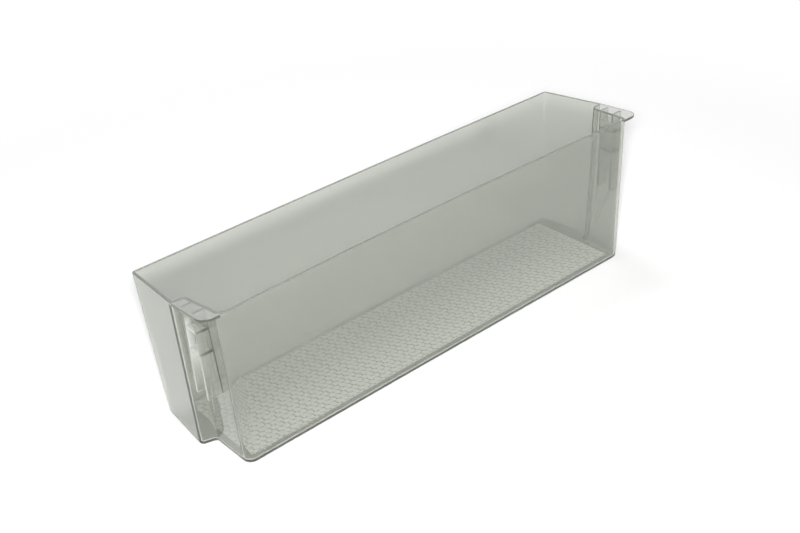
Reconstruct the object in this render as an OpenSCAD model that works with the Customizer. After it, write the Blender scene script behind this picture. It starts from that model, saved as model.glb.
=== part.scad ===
// Fridge door shelf, moulded in one piece in clear plastic: a deep open tub whose ends step
// in at the lug side, with a flat flange over each step and a lug channel under it.
// Millimetres. The origin is the middle of the underside, +X runs along the length, +Z is up,
// and the two lug channels are on the -Y side.

/* [Overall] */
// length over the two end flanges, the widest part of the rim
length = 440; // [320:1:600]
// depth of the rim from the front line to the back line, at the ends
depth = 104.5; // [85:0.5:160]
// height of the rim along the front, the lug side
height = 135; // [110:1:200]
// how far the rim falls from the front line to the back line
rim_fall = 7; // [0:0.5:14]
// how far each end wall flares out from the back corner to the step
end_flare = 5; // [1:0.5:10]

/* [Thickness] */
// walls
wall = 2.3; // [1.8:0.1:3]
// floor of the tub
floor_thickness = 2.5; // [1.8:0.1:3.5]
// flange over each lug channel, level with the rim
flange_thickness = 2.2; // [1.6:0.1:3]

/* [Draft and bow] */
// how far each end wall leans in on its way down from the rim
end_lean = 5; // [2:0.1:8]
// how far the front wall leans in on its way down
front_lean = 1.5; // [0.5:0.1:4]
// how far the back wall leans in on its way down
back_lean = 1.6; // [0.5:0.1:4]
// how far the front rim bows in towards the tub at mid-length
front_bow = 3.8; // [0:0.1:6]
// how far the front wall still bows in at the underside
front_bow_floor = 0.4; // [0:0.1:2]
// how far the back rim bows out at mid-length
back_bow = 1.2; // [0:0.1:4]

/* [Stepped ends] */
// front rim to the cross wall of the step, at the rim
step_run = 40; // [36:0.1:55]
// the same at the underside, where the cross wall meets the end wall
step_run_floor = 46; // [38:0.1:60]
// the same at the underside, where the cross wall meets the stepped wall
step_run_floor_inner = 42.6; // [36:0.1:58]
// how far the stepped wall stands in from the flange edge, at its back end on the rim
step_in = 10; // [8:0.1:16]
// the same at the underside
step_in_floor = 16.8; // [12:0.1:24]
// how far the stepped wall stands in from the flange edge, at its front end on the rim
step_in_front = 13.3; // [9:0.1:20]
// the same at the underside
step_in_front_floor = 17.5; // [12:0.1:26]

/* [Corner radii] */
// outer radius of the back corners at the rim
back_corner = 3; // [2.6:0.1:8]
// outer radius of the back corners at the underside
back_corner_floor = 7; // [5:0.1:14]
// outer radius where the end wall turns into the step
shoulder_corner = 4; // [2.6:0.1:6]
// hollow radius where the step meets the stepped wall
step_corner = 3; // [1:0.1:5]
// outer radius where the stepped wall turns into the front wall
front_corner = 8; // [5:0.1:11]
// radius of the flange corners
flange_corner = 9; // [4:0.1:14]
// outer rounding along the bottom edge
bottom_round = 4; // [2:0.1:5]
// hollow rounding along the edge of the floor inside
inside_round = 2.5; // [1:0.1:5]

/* [Lug channel] */
// thickness of the two upright ribs
rib_thickness = 2.2; // [1.6:0.1:3]
// front rim to the front face of the front rib
rib_front = 16.3; // [14:0.1:20]
// clear width between the ribs, where the door's lug slides up
slot_width = 12; // [8:0.1:13]
// how far the ribs stand back from the flange edge
rib_setback = 2.8; // [0.5:0.1:5]
// front rim down to the foot of the ribs
rib_drop = 74.5; // [45:0.5:100]
// front rim down to the underside of the stop that rests on the lug
stop_drop = 38.2; // [28:0.1:44]
// thickness of that stop
stop_thickness = 2.6; // [1.6:0.1:4]
// front rim down to the underside of the tie plate between the ribs
tie_drop = 19.6; // [12:0.1:23]
// thickness of the tie plate
tie_thickness = 2.2; // [1.6:0.1:3]

/* [Hidden] */
y_front = -(depth + back_bow) / 2;
y_back = y_front + depth;
// straight pieces in half of a long bowed side
bow_steps = 8;
// straight pieces in the rounding of one corner
corner_steps = 6;
// straight pieces in the rounding along the bottom
round_steps = 5;
plastic = [0.80, 0.83, 0.81, 0.45];

function unit(v) = v / norm(v);
function mix(a, b, f) = a + (b - a) * f;
function flip(p) = [-p.x, p.y];

// Level of the rim at a depth y: it falls in a straight line from front to back.
function rim(y) = height - rim_fall * (y - y_front) / depth;

// Plan corners of the right half at a share t of the height, 0 the underside and 1 the rim:
// front corner, inner end of the step, shoulder, back corner.
function corners(t) = [
    [length / 2 - mix(step_in_front_floor, step_in_front, t), y_front + front_lean * (1 - t)],
    [length / 2 - mix(step_in_floor, step_in, t),
        y_front + mix(step_run_floor_inner, step_run, t)],
    [length / 2 - end_lean * (1 - t), y_front + mix(step_run_floor, step_run, t)],
    [length / 2 - end_flare - end_lean * (1 - t), y_back - back_lean * (1 - t)]
];
function radii(t) = [front_corner, step_corner, shoulder_corner,
    mix(back_corner_floor, back_corner, t)];
// The hollow corner grows as an outline moves in, and the others shrink.
turns = [-1, 1, -1, -1];

// The corner p between its neighbours a and b, moved in by d on both of its sides.
function inward(a, b) = let (e = unit(b - a)) [-e.y, e.x];
function moved(a, p, b, d) = let (m = inward(a, p), n = inward(p, b))
    p + (m + n) * d / (1 + m * n);

// Arc of radius r at the corner p between its neighbours a and b.
function arc(a, p, b, r, steps) =
    let (u = unit(a - p), v = unit(b - p), h = acos(u * v) / 2, turn = 180 - 2 * h,
        c = p + unit(u + v) * r / sin(h),
        from = p + u * r / tan(h) - c, to = p + v * r / tan(h) - c)
    [for (i = [0 : steps])
        c + (from * sin(turn * (1 - i / steps)) + to * sin(turn * i / steps)) / sin(turn)];

// The four rounded corners of the right half, d inside the outer face.
function half_arcs(t, d) =
    let (c = corners(t), r = radii(t), all = [flip(c[0]), c[0], c[1], c[2], c[3], flip(c[3])],
        in = [for (i = [1 : 4]) moved(all[i - 1], all[i], all[i + 1], d)],
        ring = [flip(in[0]), in[0], in[1], in[2], in[3], flip(in[3])])
    [for (i = [0 : 3]) arc(ring[i], ring[i + 1], ring[i + 2], max(0.3, r[i] + turns[i] * d),
        corner_steps)];

// The same four runs of points along the edge of the rim, where a flange bridges the step.
function flange_arcs(t) =
    let (w = half_arcs(t, 0), s = corner_steps, first = w[0][0], shoulder = corners(t)[2],
        bend = arc(first, [shoulder.x, first.y], shoulder, flange_corner, s - 1),
        edge = [for (i = [1 : 2 * s + 1]) mix(bend[s - 1], shoulder, i / (2 * s + 1))])
    [concat([first], bend), [for (i = [0 : s]) edge[i]],
        concat([for (i = [s + 1 : 2 * s]) edge[i]], [w[2][s]]), w[3]];

// Half outline from the middle of the front to the middle of the back.
function half_outline(a) =
    let (first = a[0][0], last = a[3][corner_steps], m = bow_steps)
    concat([for (i = [0 : m - 1]) [first.x * i / m, first.y]], a[0], a[1], a[2], a[3],
        [for (i = [1 : m]) [last.x * (1 - i / m), last.y]]);

// Both halves, with the long sides bowed: f at the front, b at the back.
function whole(half, f, b) =
    let (n = len(half), x0 = half[bow_steps].x,
        both = concat(half, [for (i = [n - 2 : -1 : 1]) flip(half[i])]))
    [for (p = both) p + [0, mix(f, b, (p.y - y_front) / depth) * max(0, 1 - pow(p.x / x0, 2))]];

function floor_outline(a) = whole(half_outline(a), front_bow_floor, 0);
function rim_outline(a) = whole(half_outline(a), front_bow, back_bow);

// Outline d inside the outer face, at a level z, or a distance `under` below the rim.
function level(d, z, under) =
    let (lo = floor_outline(half_arcs(0, d)), hi = rim_outline(half_arcs(1, d)))
    [for (i = [0 : len(lo) - 1]) let (top = rim(hi[i].y), h = is_undef(z) ? top - under : z,
        p = mix(lo[i], hi[i], h / top)) [p.x, p.y, h]];

// The rim's outer edge with the flanges, `under` below the top.
function rim_edge(under) =
    let (wall_line = level(0, undef, under), top = rim_outline(flange_arcs(1)),
        low = floor_outline(flange_arcs(0)), m = bow_steps, s = corner_steps, n = len(top))
    [for (i = [0 : n - 1])
        let (k = min(i, n - i), h = rim(top[i].y), p = mix(low[i], top[i], 1 - under / h))
        k > m && k < m + 3 * s + 2 ? [p.x, p.y, h - under] : wall_line[i]];

// A closed skin through a list of outlines. Where two outlines share a stretch there is no
// face between them. Each end is closed by strips from front to back and a fan at the steps.
module skin(rings) {
    n = len(rings[0]);
    m = bow_steps;
    back = m + 4 * corner_steps + 4;
    half_cap = concat(
        [for (i = [0 : m - 2]) let (a = back + m - 1 - i) each [[i, i + 1, a - 1], [i, a - 1, a]]],
        [for (i = [m - 1 : back - 2]) [back, i, i + 1]]);
    cap = concat(half_cap, [for (f = half_cap) [for (i = [0, 2, 1]) (n - f[i]) % n]]);
    top = n * (len(rings) - 1);
    sides = [for (k = [0 : len(rings) - 2], i = [0 : n - 1])
        let (j = (i + 1) % n, a = k * n, b = a + n,
            open_i = rings[k][i] != rings[k + 1][i], open_j = rings[k][j] != rings[k + 1][j])
        each [if (open_j) [b + i, b + j, a + j], if (open_i) [b + i, a + j, a + i]]];
    polyhedron(points = [for (r = rings) each r],
        faces = concat(sides, cap, [for (f = cap) [top + f[0], top + f[2], top + f[1]]]));
}

// The tub: up the outside, over the rim and flanges, and down the inside to the floor.
module tub() {
    outside = [for (i = [0 : round_steps]) let (a = 90 * i / round_steps)
        level(bottom_round * (1 - sin(a)), bottom_round * (1 - cos(a)))];
    inside = [for (i = [round_steps : -1 : 0]) let (a = 90 * i / round_steps)
        level(wall + inside_round * (1 - sin(a)), floor_thickness + inside_round * (1 - cos(a)))];
    skin(concat(outside,
        [level(0, undef, flange_thickness), rim_edge(flange_thickness), rim_edge(0),
            level(wall, undef, 0)],
        inside));
}

// Outer face of the stepped wall at a depth y from the front rim and a level z.
function stepped_wall(y, z) =
    let (t = z / rim(y_front + y), c = corners(t), f = (y_front + y - c[0].y) / (c[1].y - c[0].y))
    mix(c[0].x, c[1].x, f);

// Upright rib whose front face is y from the front rim; it reaches into the wall and flange.
module rib(y) {
    edge = length / 2 - rib_setback;
    top = rim(y_front + y + rib_thickness) - flange_thickness / 2;
    foot = height - rib_drop;
    middle = y + rib_thickness / 2;
    translate([0, y_front + y + rib_thickness, 0])
        rotate([90, 0, 0])
            linear_extrude(rib_thickness)
                polygon([
                    [edge, foot],
                    [edge, top],
                    [stepped_wall(middle, top) - wall / 2, top],
                    [stepped_wall(middle, foot) - wall / 2, foot]
                ]);
}

// Level plate between the ribs, its underside `drop` below the front rim.
module cross_plate(drop, thickness) {
    z = height - drop;
    edge = length / 2 - rib_setback;
    near = rib_front + rib_thickness / 2;
    far = near + slot_width + rib_thickness;
    translate([0, y_front, z])
        linear_extrude(thickness)
            polygon([
                [edge, near],
                [edge, far],
                [stepped_wall(far, z) - wall / 2, far],
                [stepped_wall(near, z) - wall / 2, near]
            ]);
}

module lug_channel() {
    rib(rib_front);
    rib(rib_front + rib_thickness + slot_width);
    cross_plate(stop_drop, stop_thickness);
    cross_plate(tie_drop, tie_thickness);
}

module door_shelf() {
    color(plastic)
        union() {
            tub();
            lug_channel();
            mirror([1, 0, 0]) lug_channel();
        }
}

door_shelf();
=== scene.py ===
import bmesh
import bpy
import math
import numpy as np
from mathutils import Matrix, Vector


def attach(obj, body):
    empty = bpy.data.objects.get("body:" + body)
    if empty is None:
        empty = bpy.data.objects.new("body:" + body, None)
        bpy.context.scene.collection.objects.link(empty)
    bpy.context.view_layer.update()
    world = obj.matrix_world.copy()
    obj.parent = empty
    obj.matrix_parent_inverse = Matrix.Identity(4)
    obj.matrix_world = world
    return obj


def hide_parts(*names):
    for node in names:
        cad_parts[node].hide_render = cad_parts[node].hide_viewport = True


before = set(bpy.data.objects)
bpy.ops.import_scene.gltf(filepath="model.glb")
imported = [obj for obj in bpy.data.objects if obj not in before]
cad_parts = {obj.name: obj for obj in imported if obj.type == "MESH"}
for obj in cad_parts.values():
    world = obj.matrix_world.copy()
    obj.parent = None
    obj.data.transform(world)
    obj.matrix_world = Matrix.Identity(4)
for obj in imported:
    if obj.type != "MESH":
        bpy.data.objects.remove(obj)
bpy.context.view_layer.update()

MM = 0.001

# The shelf's own sizes, in millimetres.
LENGTH, DEPTH, HEIGHT = 440.0, 104.5, 135.0
RIM_FALL, END_FLARE = 7.0, 5.0
WALL, FLOOR, FLANGE = 2.3, 2.5, 2.2
END_LEAN, FRONT_LEAN, BACK_LEAN = 5.0, 1.5, 1.6
FRONT_BOW, FRONT_BOW_FLOOR, BACK_BOW = 3.8, 0.4, 1.2
STEP_RUN, STEP_RUN_FLOOR, STEP_RUN_FLOOR_INNER = 40.0, 46.0, 42.6
STEP_IN, STEP_IN_FLOOR = 10.0, 16.8
STEP_IN_FRONT, STEP_IN_FRONT_FLOOR = 13.3, 17.5
BACK_CORNER, BACK_CORNER_FLOOR = 3.0, 7.0
SHOULDER_CORNER, STEP_CORNER, FRONT_CORNER, FLANGE_CORNER = 4.0, 3.0, 8.0, 9.0
BOTTOM_ROUND, INSIDE_ROUND = 4.0, 2.5
RIB, RIB_FRONT, SLOT, RIB_SETBACK = 2.2, 16.3, 12.0, 2.8
RIB_DROP, STOP_DROP, STOP, TIE_DROP, TIE = 74.5, 38.2, 2.6, 19.6, 2.2
Y_FRONT = -(DEPTH + BACK_BOW) / 2

# Finer than the solids: edge rounding and the honeycomb on the floor, in millimetres.
EDGE, RIB_EDGE = 0.45, 0.35
PITCH = 5.5
ROW = PITCH * math.sqrt(3) / 2
RELIEF = 0.6
TEX_X, TEX_ROWS, TEX_Y = 35.5 * PITCH, 18, -0.1
TEX_FADE = 1.2
SCALE_UP_TO_LIGHT = (0.62, 0.78)
CELL_STEPS, ROW_STEPS = 8, 7
BOW_STEPS, CORNER_STEPS, ROUND_STEPS, EDGE_STEPS = 24, 12, 8, 3
NEAR = 0.05

# How frosted the plastic is, from 0, clear, to 1: the rim's top and the channels' edges, frosted paler as
# painted highlights, and the grooves, left clearer and darker as painted shade.
RIM_HIGHLIGHT_FROST, EDGE_HIGHLIGHT_FROST, SHADED_GROOVE_FROST = 0.25, 0.6, 0.35

# The camera, matched to the photograph: angles in degrees, lengths in its own millimetres,
# of which GAUGE gives the shelf's.
AZIMUTH, ELEVATION, ROLL = -38.46290, 31.24102, -4.36585
GAUGE = 430.0 / 440.0
AIM = np.array([350.8028, 231.2084, -73.4782])
DISTANCE, FOCUS_PIXELS, PHOTO_WIDTH = 1235.7379, 1171.2963, 800
SENSOR = 36.0

# The studio, in metres and watts.
FLOOR_SIZE, FLOOR_GAP, FLOOR_GREY = 12.0, 0.0005, 0.80
FLOOR_NEAR, FLOOR_FAR = 0.3, 0.7
KEY_RAISE, KEY_POWER, KEY_RADIUS = 0.02, 46.0, 0.05
TOP_AT, TOP_POWER, TOP_SIZE = (0.2, 0.45, 0.95), 3.1, 0.4
WORLD_LIT, WORLD_SEEN = 0.25, 1.0


def unit(v):
    return v / np.linalg.norm(v)


def flip(p):
    return np.array([-p[0], p[1]])


def mix(a, b, f):
    return a + (b - a) * f


def rim(y):
    return HEIGHT - RIM_FALL * (y - Y_FRONT) / DEPTH


def corners(t):
    """Plan corners of the right half at a share t of the height: front, step, shoulder, back."""
    up = 1 - t
    return [np.array(c) for c in (
        (LENGTH / 2 - mix(STEP_IN_FRONT_FLOOR, STEP_IN_FRONT, t), Y_FRONT + FRONT_LEAN * up),
        (LENGTH / 2 - mix(STEP_IN_FLOOR, STEP_IN, t), Y_FRONT + mix(STEP_RUN_FLOOR_INNER, STEP_RUN, t)),
        (LENGTH / 2 - END_LEAN * up, Y_FRONT + mix(STEP_RUN_FLOOR, STEP_RUN, t)),
        (LENGTH / 2 - END_FLARE - END_LEAN * up, Y_FRONT + DEPTH - BACK_LEAN * up))]


def moved(a, p, b, d):
    """The corner p between a and b, moved in by d on both of its sides."""
    e, f = unit(p - a), unit(b - p)
    m, n = np.array([-e[1], e[0]]), np.array([-f[1], f[0]])
    return p + (m + n) * d / (1 + m @ n)


def arc(a, p, b, r, steps):
    """Points of the rounding of radius r at the corner p between a and b."""
    u, v = unit(a - p), unit(b - p)
    h = math.acos(u @ v) / 2
    turn = math.pi - 2 * h
    c = p + unit(u + v) * r / math.sin(h)
    q, s = p + u * r / math.tan(h) - c, p + v * r / math.tan(h) - c
    return [c + (q * math.sin(turn * (1 - i / steps)) + s * math.sin(turn * i / steps)) / math.sin(turn)
            for i in range(steps + 1)]


def half_arcs(t, d):
    """The four rounded corners of the right half, d inside the outer face."""
    c = corners(t)
    r = [FRONT_CORNER - d, STEP_CORNER + d, SHOULDER_CORNER - d, mix(BACK_CORNER_FLOOR, BACK_CORNER, t) - d]
    ring = [flip(c[0])] + c + [flip(c[3])]
    near = [moved(ring[i - 1], ring[i], ring[i + 1], d) for i in range(1, 5)]
    ring = [flip(near[0])] + near + [flip(near[3])]
    return [arc(ring[i], ring[i + 1], ring[i + 2], max(0.3, r[i]), CORNER_STEPS) for i in range(4)]


def flange_arcs(t, d):
    """The same runs of points along the edge of the rim, where a flange bridges the step."""
    w, s = half_arcs(t, d), CORNER_STEPS
    first, shoulder = w[0][0], corners(t)[2] - np.array([d, 0])
    bend = arc(first, np.array([shoulder[0], first[1]]), shoulder, FLANGE_CORNER - d, s - 1)
    edge = [mix(bend[-1], shoulder, i / (2 * s + 1)) for i in range(1, 2 * s + 2)]
    return [[first] + bend, edge[:s + 1], edge[s + 1:2 * s + 1] + [w[2][s]], w[3]]


def outline(a, front, back):
    """The whole outline from the middle of the front, with the long sides bowed."""
    first, last, m = a[0][0], a[3][-1], BOW_STEPS
    half = ([np.array([first[0] * i / m, first[1]]) for i in range(m)] + sum(a, [])
            + [np.array([last[0] * (1 - i / m), last[1]]) for i in range(1, m + 1)])
    both = np.array(half + [flip(p) for p in half[-2:0:-1]])
    share = np.maximum(0, 1 - (both[:, 0] / first[0]) ** 2)
    both[:, 1] += mix(front, back, (both[:, 1] - Y_FRONT) / DEPTH) * share
    return both


def between(low, high, z=None, under=0.0):
    top = rim(high[:, 1])
    h = top - under if z is None else np.full(len(top), z)
    return np.column_stack([mix(low, high, (h / top)[:, None]), h])


def level(d, z=None, under=0.0):
    """Outline d inside the outer face, at a level z or a distance under the rim."""
    return between(outline(half_arcs(0, d), FRONT_BOW_FLOOR, 0),
                   outline(half_arcs(1, d), FRONT_BOW, BACK_BOW), z, under)


def rim_edge(under, d, wall_d):
    """The rim's outer edge: d inside the edge of a flange, wall_d inside the wall elsewhere."""
    line = level(wall_d, under=under)
    wide = between(outline(flange_arcs(0, d), FRONT_BOW_FLOOR, 0),
                   outline(flange_arcs(1, d), FRONT_BOW, BACK_BOW), under=under)
    i = np.arange(len(line))
    k = np.minimum(i, len(line) - i)
    on = (k > BOW_STEPS) & (k < BOW_STEPS + 3 * CORNER_STEPS + 2)
    line[on] = wide[on]
    return line


def quarter(steps, up=True):
    turns = [math.pi / 2 * i / steps for i in range(steps + 1)]
    return turns if up else turns[::-1]


def tub_rings():
    r, q, e = BOTTOM_ROUND, INSIDE_ROUND, EDGE
    rings = [level(r * (1 - math.sin(a)), z=r * (1 - math.cos(a))) for a in quarter(ROUND_STEPS)]
    rings += [level(0, under=FLANGE)]
    rings += [rim_edge(FLANGE - e * (1 - math.cos(a)), e * (1 - math.sin(a)), 0) for a in quarter(EDGE_STEPS)]
    rings += [rim_edge(e * (1 - math.sin(a)), e * (1 - math.cos(a)), e * (1 - math.cos(a)))
              for a in quarter(EDGE_STEPS)]
    rings += [level(WALL - e * (1 - math.sin(a)), under=e * (1 - math.cos(a))) for a in quarter(EDGE_STEPS)]
    rings += [level(WALL + q * (1 - math.sin(a)), z=FLOOR + q * (1 - math.cos(a)))
              for a in quarter(ROUND_STEPS, up=False)]
    return rings


def texture_axes():
    """Grid lines of the honeycomb patch."""
    nx, ny = int(round(2 * TEX_X / PITCH * CELL_STEPS)), TEX_ROWS * ROW_STEPS
    xs = np.linspace(-TEX_X, TEX_X, nx + 1)
    ys = TEX_Y + (np.arange(ny + 1) - ny / 2) * ROW / ROW_STEPS
    return xs, ys


def loop_of(xs, ys):
    return ([(x, ys[0]) for x in xs[:-1]] + [(xs[-1], y) for y in ys[:-1]]
            + [(x, ys[-1]) for x in xs[:0:-1]] + [(xs[0], y) for y in ys[:0:-1]])


def make_tub():
    """The tub as one closed skin, with the honeycomb's patch left as one flat face."""
    rings = tub_rings()
    bm = bmesh.new()
    rows, n = [], len(rings[0])
    for k, ring in enumerate(rings):
        row = []
        for i, p in enumerate(ring):
            same = k and np.linalg.norm(p - rings[k - 1][i]) < 1e-6
            row.append(rows[-1][i] if same else bm.verts.new(p * MM))
        rows.append(row)
    for a, b in zip(rows, rows[1:]):
        for i in range(n):
            j = (i + 1) % n
            face = [a[i], a[j]] + [v for v, low in ((b[j], a[j]), (b[i], a[i])) if v is not low]
            if len(face) > 2:
                bm.faces.new(face)

    def loop_edges(loop):
        return [bm.edges.get((p, q)) or bm.edges.new((p, q)) for p, q in zip(loop, loop[1:] + loop[:1])]
    bmesh.ops.triangle_fill(bm, edges=loop_edges(rows[0]), use_beauty=True, normal=(0, 0, -1))
    patch = [bm.verts.new((x * MM, y * MM, FLOOR * MM)) for x, y in loop_of(*texture_axes())]
    bmesh.ops.triangle_fill(bm, edges=loop_edges(rows[-1]) + loop_edges(patch), use_beauty=True,
                            normal=(0, 0, 1))
    for f in [f for f in bm.faces if all(v in set(patch) for v in f.verts)]:
        bm.faces.remove(f)
    bm.faces.new(patch)
    bmesh.ops.recalc_face_normals(bm, faces=bm.faces[:])
    return as_object(bm, "tub")


def as_object(bm, name):
    me = bpy.data.meshes.new(name)
    bm.to_mesh(me)
    bm.free()
    ob = bpy.data.objects.new(name, me)
    bpy.context.scene.collection.objects.link(ob)
    return ob


def stepped_wall(y, z):
    """Outer face of the stepped wall at a distance y from the front rim and a level z."""
    c = corners(z / rim(Y_FRONT + y))
    return mix(c[0][0], c[1][0], (Y_FRONT + y - c[0][1]) / (c[1][1] - c[0][1]))


def block(name, sides, low, high, side):
    """A six-sided block between two four-cornered outlines, its edges rounded; side mirrors it."""
    bm = bmesh.new()
    a = [bm.verts.new((x * side * MM, y * MM, z * MM)) for x, y, z in low]
    b = [bm.verts.new((x * side * MM, y * MM, z * MM)) for x, y, z in high]
    bm.faces.new(a)
    bm.faces.new(b[::-1])
    for i in range(4):
        j = (i + 1) % 4
        bm.faces.new((a[j], a[i], b[i], b[j]))
    bmesh.ops.recalc_face_normals(bm, faces=bm.faces[:])
    bmesh.ops.bevel(bm, geom=bm.edges[:], offset=RIB_EDGE * MM, segments=2, profile=0.5, affect="EDGES")
    return as_object(bm, name)


def channel(side):
    """Two upright ribs with the stop and the tie plate between them."""
    out = []
    edge = LENGTH / 2 - RIB_SETBACK
    foot = HEIGHT - RIB_DROP
    for y in (RIB_FRONT, RIB_FRONT + RIB + SLOT):
        top, middle = rim(Y_FRONT + y + RIB) - FLANGE / 2, y + RIB / 2
        profile = [(edge, foot), (edge, top), (stepped_wall(middle, top) - WALL / 2, top),
                   (stepped_wall(middle, foot) - WALL / 2, foot)]
        out.append(block("rib", 4, [(x, Y_FRONT + y, z) for x, z in profile],
                         [(x, Y_FRONT + y + RIB, z) for x, z in profile], side))
    near, far = RIB_FRONT + RIB / 2, RIB_FRONT + RIB * 1.5 + SLOT
    for drop, thick in ((STOP_DROP, STOP), (TIE_DROP, TIE)):
        z = HEIGHT - drop
        plan = [(edge - 0.2, near), (edge - 0.2, far), (stepped_wall(far, z) - WALL / 2, far),
                (stepped_wall(near, z) - WALL / 2, near)]
        out.append(block("plate", 4, [(x, Y_FRONT + y, z) for x, y in plan],
                         [(x, Y_FRONT + y, z + thick) for x, y in plan], side))
    return out


def honeycomb(x, y):
    """Height and frosting of the floor's relief: each hexagonal pad falls off to one side, like a scale, and
    the groove on the side away from the light is left clearer and darker, as painted shade.
    """
    shape = np.broadcast(x, y).shape
    best, lean_to_light = np.full(shape, 9e9), np.zeros(shape)
    row = np.round((y - TEX_Y) / ROW)
    for dr in (-1, 0, 1):
        r = row + dr
        shift = np.mod(r, 2) * PITCH / 2
        dx, dy = x - np.round((x - shift) / PITCH) * PITCH - shift, y - TEX_Y - r * ROW
        far = np.maximum(np.abs(dx), np.abs(dx) / 2 + np.abs(dy) * math.sqrt(3) / 2) / (PITCH / 2)
        near = far < best
        best = np.where(near, far, best)
        lean_to_light = np.where(near, (dx * SCALE_UP_TO_LIGHT[0] + dy * SCALE_UP_TO_LIGHT[1]) / (PITCH / 2), lean_to_light)
    s = np.clip(best, 0, 1)
    # Painted shade: the groove on the side of each pad away from the light stays clearer, so it shows darker.
    shaded_groove = np.clip((s - 0.5) / 0.4, 0, 1) * np.clip(0.3 - lean_to_light, 0, 1)
    return RELIEF * (1 - s ** 4) * (0.8 + 0.2 * lean_to_light), 1 - (1 - SHADED_GROOVE_FROST) * shaded_groove


def on_channel_edge(x, y, z):
    """Whether a point lies on an outer edge or a foot of the ribs, or on a plate between them: where the
    painted glints go.
    """
    across = RIB_FRONT - NEAR < y < RIB_FRONT + 2 * RIB + SLOT + NEAR
    if not across or z > rim(Y_FRONT + y) - FLANGE - NEAR or x < stepped_wall(y, z) + NEAR:
        return False
    on_plate = any(-NEAR < z - (HEIGHT - drop) < thick + NEAR
                   for drop, thick in ((STOP_DROP, STOP), (TIE_DROP, TIE)))
    return x > LENGTH / 2 - RIB_SETBACK - 0.22 or z < HEIGHT - RIB_DROP + NEAR or on_plate


def lay_honeycomb(bm, frost_and_painted_light):
    """Puts the honeycomb in place of the flat patch."""
    xs, ys = texture_axes()

    def in_patch(f):
        c = f.calc_center_median() / MM
        return (abs(c.z - FLOOR) < 1e-3 and abs(c.x) < TEX_X - NEAR and ys[0] + NEAR < c.y < ys[-1] - NEAR
                and all(abs(v.co.x) < (TEX_X + 1e-3) * MM for v in f.verts)
                and all((ys[0] - 1e-3) * MM < v.co.y < (ys[-1] + 1e-3) * MM for v in f.verts))
    bmesh.ops.delete(bm, geom=[f for f in bm.faces if in_patch(f)], context="FACES")
    gx, gy = np.meshgrid(xs, ys, indexing="ij")
    edge_gap = np.minimum(np.minimum(TEX_X - np.abs(gx), gy - ys[0]), ys[-1] - gy)
    share = np.clip(edge_gap / TEX_FADE, 0, 1)
    height, haze_and_painted_shade = honeycomb(gx, gy)
    gz = FLOOR + height * share
    grid = [[bm.verts.new((x * MM, y * MM, z * MM)) for x, y, z in zip(a, b, c)]
            for a, b, c in zip(gx, gy, gz)]
    for a, b in zip(grid, grid[1:]):
        for j in range(len(ys) - 1):
            bm.faces.new((a[j], b[j], b[j + 1], a[j + 1]))
    bmesh.ops.remove_doubles(bm, verts=[v for v in bm.verts if v.is_boundary], dist=2e-6)
    for v, f in zip((v for row in grid for v in row), (haze_and_painted_shade * share).ravel()):
        if v.is_valid:
            v[frost_and_painted_light] = f


def paint_edge_highlights(bm, frost_and_painted_light):
    # Painted highlights: the rim's top and the ribs' edges, feet and plates are made frosted and paler to stand
    # in for glints.
    for v in bm.verts:
        x, y, z = abs(v.co.x) / MM, v.co.y / MM, v.co.z / MM
        if z > rim(y) - NEAR:
            v[frost_and_painted_light] = RIM_HIGHLIGHT_FROST
        elif on_channel_edge(x, y - Y_FRONT, z):
            v[frost_and_painted_light] = EDGE_HIGHLIGHT_FROST


def make_shelf():
    """The tub and both channels as one closed skin."""
    tub = make_tub()
    parts = channel(1) + channel(-1)
    for p in parts:
        m = tub.modifiers.new("join", "BOOLEAN")
        m.operation, m.solver, m.object = "UNION", "MANIFOLD", p
    dg = bpy.context.evaluated_depsgraph_get()
    me = bpy.data.meshes.new_from_object(tub.evaluated_get(dg))
    for o in [tub] + parts:
        bpy.data.objects.remove(o)
    bm = bmesh.new()
    bm.from_mesh(me)
    # This attribute holds the honeycomb pads' frosting, the painted shade in the grooves and the painted
    # highlights on the rim and the channels.
    frost_and_painted_light = bm.verts.layers.float.new("frost_and_painted_light")
    lay_honeycomb(bm, frost_and_painted_light)
    paint_edge_highlights(bm, frost_and_painted_light)
    bmesh.ops.delete(bm, geom=[v for v in bm.verts if not v.link_faces], context="VERTS")
    bm.to_mesh(me)
    bm.free()
    me.name = "door_shelf_skin"
    me.materials.clear()
    me.polygons.foreach_set("use_smooth", [True] * len(me.polygons))
    me.set_sharp_from_angle(angle=math.radians(38))
    ob = bpy.data.objects.new("door_shelf_skin", me)
    bpy.context.scene.collection.objects.link(ob)
    w = ob.modifiers.new("normals", "WEIGHTED_NORMAL")
    w.keep_sharp = True
    return ob


def nodes_of(name):
    mat = bpy.data.materials.new(name)
    mat.use_nodes = True
    nt = mat.node_tree
    nt.nodes.clear()
    return mat, nt, nt.nodes, nt.links


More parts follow.
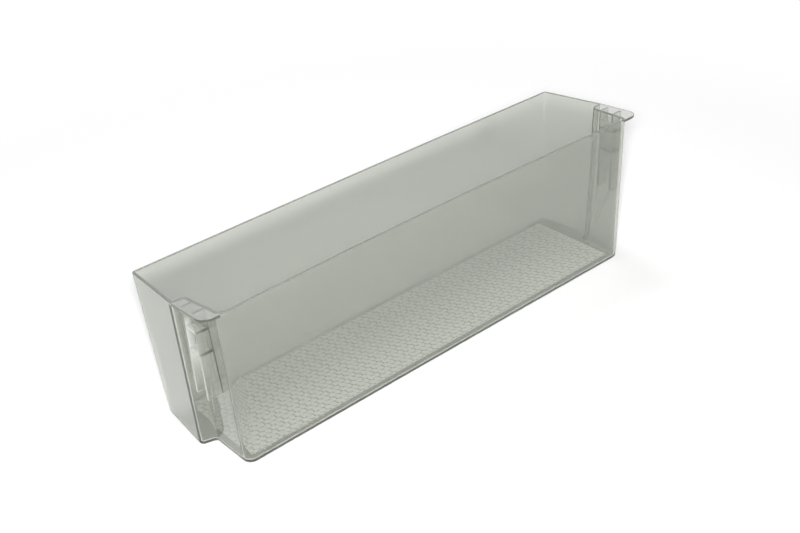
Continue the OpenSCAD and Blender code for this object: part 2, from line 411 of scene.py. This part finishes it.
def clear_plastic():
    """Clear plastic with a faint grey-green tint, hazy and paler where the vertex attribute says so: frosted on
    the honeycomb pads, paler on the rim's top and the channels' edges as painted highlights, and left clear on
    one side of the grooves as painted shade.
    """
    mat, nt, nodes, links = nodes_of("clear_plastic")
    out = nodes.new("ShaderNodeOutputMaterial")
    bsdf = nodes.new("ShaderNodeBsdfPrincipled")
    bsdf.inputs["IOR"].default_value = 1.55
    bsdf.inputs["Specular IOR Level"].default_value = 0.4
    frost_and_painted_light = nodes.new("ShaderNodeAttribute")
    frost_and_painted_light.attribute_name = "frost_and_painted_light"

    def ranged(clear, frosted):
        m = nodes.new("ShaderNodeMapRange")
        links.new(frost_and_painted_light.outputs["Fac"], m.inputs["Value"])
        m.inputs["To Min"].default_value, m.inputs["To Max"].default_value = clear, frosted
        return m.outputs["Result"]
    links.new(ranged(0.925, 0.12), bsdf.inputs["Transmission Weight"])
    links.new(ranged(0.05, 0.40), bsdf.inputs["Roughness"])
    # The paler frosted colour is the pads' real frosting and, on the rim's top and the channels' edges, painted
    # highlights.
    tint = nodes.new("ShaderNodeMix")
    tint.data_type = "RGBA"
    tint.inputs["A"].default_value = (0.795, 0.810, 0.765, 1)
    tint.inputs["B"].default_value = (0.940, 0.945, 0.925, 1)
    links.new(frost_and_painted_light.outputs["Fac"], tint.inputs["Factor"])
    links.new(tint.outputs["Result"], bsdf.inputs["Base Color"])
    links.new(bsdf.outputs["BSDF"], out.inputs["Surface"])
    depth = nodes.new("ShaderNodeVolumeAbsorption")
    depth.inputs["Color"].default_value = (0.56, 0.59, 0.525, 1)
    depth.inputs["Density"].default_value = 120.0
    links.new(depth.outputs["Volume"], out.inputs["Volume"])
    return mat


def seen_ray(nodes, links):
    """1 for what the camera sees, straight or by way of gloss and glass."""
    path = nodes.new("ShaderNodeLightPath")
    seen = path.outputs["Is Camera Ray"]
    for name in ("Is Glossy Ray", "Is Transmission Ray"):
        add = nodes.new("ShaderNodeMath")
        add.operation, add.use_clamp = "ADD", True
        links.new(seen, add.inputs[0])
        links.new(path.outputs[name], add.inputs[1])
        seen = add.outputs[0]
    return seen


def floor_material():
    """White to the camera: lit and shadowed near the object, plain white further off."""
    mat, nt, nodes, links = nodes_of("studio_floor")
    out = nodes.new("ShaderNodeOutputMaterial")
    seen = seen_ray(nodes, links)
    colour = nodes.new("ShaderNodeMix")
    colour.data_type = "RGBA"
    colour.inputs["A"].default_value = (FLOOR_GREY, FLOOR_GREY, FLOOR_GREY, 1)
    colour.inputs["B"].default_value = (1, 1, 1, 1)
    links.new(seen, colour.inputs["Factor"])
    lit = nodes.new("ShaderNodeBsdfDiffuse")
    links.new(colour.outputs["Result"], lit.inputs["Color"])
    place = nodes.new("ShaderNodeNewGeometry")
    away = nodes.new("ShaderNodeVectorMath")
    away.operation = "LENGTH"
    links.new(place.outputs["Position"], away.inputs[0])
    far = nodes.new("ShaderNodeMapRange")
    far.interpolation_type = "SMOOTHSTEP"
    far.inputs["From Min"].default_value, far.inputs["From Max"].default_value = FLOOR_NEAR, FLOOR_FAR
    links.new(away.outputs["Value"], far.inputs["Value"])
    share = nodes.new("ShaderNodeMath")
    share.operation = "MULTIPLY"
    links.new(far.outputs["Result"], share.inputs[0])
    links.new(seen, share.inputs[1])
    white = nodes.new("ShaderNodeEmission")
    mixed = nodes.new("ShaderNodeMixShader")
    for socket, source in enumerate((share.outputs["Value"], lit.outputs["BSDF"], white.outputs["Emission"])):
        links.new(source, mixed.inputs[socket])
    links.new(mixed.outputs["Shader"], out.inputs["Surface"])
    return mat


def add_floor():
    bm = bmesh.new()
    bmesh.ops.create_grid(bm, x_segments=4, y_segments=4, size=FLOOR_SIZE)
    floor = as_object(bm, "studio_floor")
    floor.location = (0, 0, -FLOOR_GAP)
    floor.data.materials.append(floor_material())


def add_camera():
    az, el, roll = [math.radians(v) for v in (AZIMUTH, ELEVATION, ROLL)]
    back = np.array([math.sin(az) * math.cos(el), -math.cos(az) * math.cos(el), math.sin(el)])
    level_x = unit(np.cross(-back, [0, 0, 1]))
    level_y = np.cross(level_x, -back)
    eye = (AIM + back * DISTANCE) * GAUGE + np.array([-GAUGE * LENGTH / 2, Y_FRONT, 0])
    x = math.cos(roll) * level_x + math.sin(roll) * level_y
    y = -math.sin(roll) * level_x + math.cos(roll) * level_y
    data = bpy.data.cameras.new("camera")
    data.sensor_width = SENSOR
    data.lens = FOCUS_PIXELS / PHOTO_WIDTH * SENSOR
    data.clip_end = 60
    cam = bpy.data.objects.new("camera", data)
    cam.matrix_world = Matrix([[x[i], y[i], back[i], eye[i] * MM] for i in range(3)] + [[0, 0, 0, 1]])
    bpy.context.scene.collection.objects.link(cam)
    bpy.context.scene.camera = cam
    return eye * MM


def lamp(name, kind, at, **settings):
    """A lamp that points at the object."""
    light = bpy.data.lights.new(name, kind)
    for key, value in settings.items():
        setattr(light, key, value)
    ob = bpy.data.objects.new(name, light)
    ob.location = at
    ob.rotation_euler = (-Vector(at)).to_track_quat("-Z", "Y").to_euler()
    bpy.context.scene.collection.objects.link(ob)
    return light


def add_lights(eye):
    """A key lamp at the camera, a soft one above and behind, and a pale surround."""
    key = lamp("key", "POINT", eye + np.array([0, 0, KEY_RAISE]), energy=KEY_POWER, shadow_soft_size=KEY_RADIUS)
    # The key is as strong at any distance, as a far lamp would be.
    key.use_nodes = True
    tree = key.node_tree
    falloff = tree.nodes.new("ShaderNodeLightFalloff")
    falloff.inputs["Strength"].default_value = 1.0
    tree.links.new(falloff.outputs["Constant"], tree.nodes["Emission"].inputs["Strength"])
    lamp("top", "AREA", TOP_AT, energy=TOP_POWER, size=TOP_SIZE)
    world = bpy.data.worlds.new("studio")
    world.use_nodes = True
    nodes, links = world.node_tree.nodes, world.node_tree.links
    nodes["Background"].inputs["Color"].default_value = (1, 1, 1, 1)
    strength = nodes.new("ShaderNodeMapRange")
    strength.inputs["To Min"].default_value, strength.inputs["To Max"].default_value = WORLD_LIT, WORLD_SEEN
    links.new(seen_ray(nodes, links), strength.inputs["Value"])
    links.new(strength.outputs["Result"], nodes["Background"].inputs["Strength"])
    bpy.context.scene.world = world


shelf = make_shelf()
shelf.data.materials.append(clear_plastic())
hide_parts("door_shelf")
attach(shelf, "root")
add_floor()
add_lights(add_camera())
bpy.context.scene.view_settings.view_transform = "Standard"
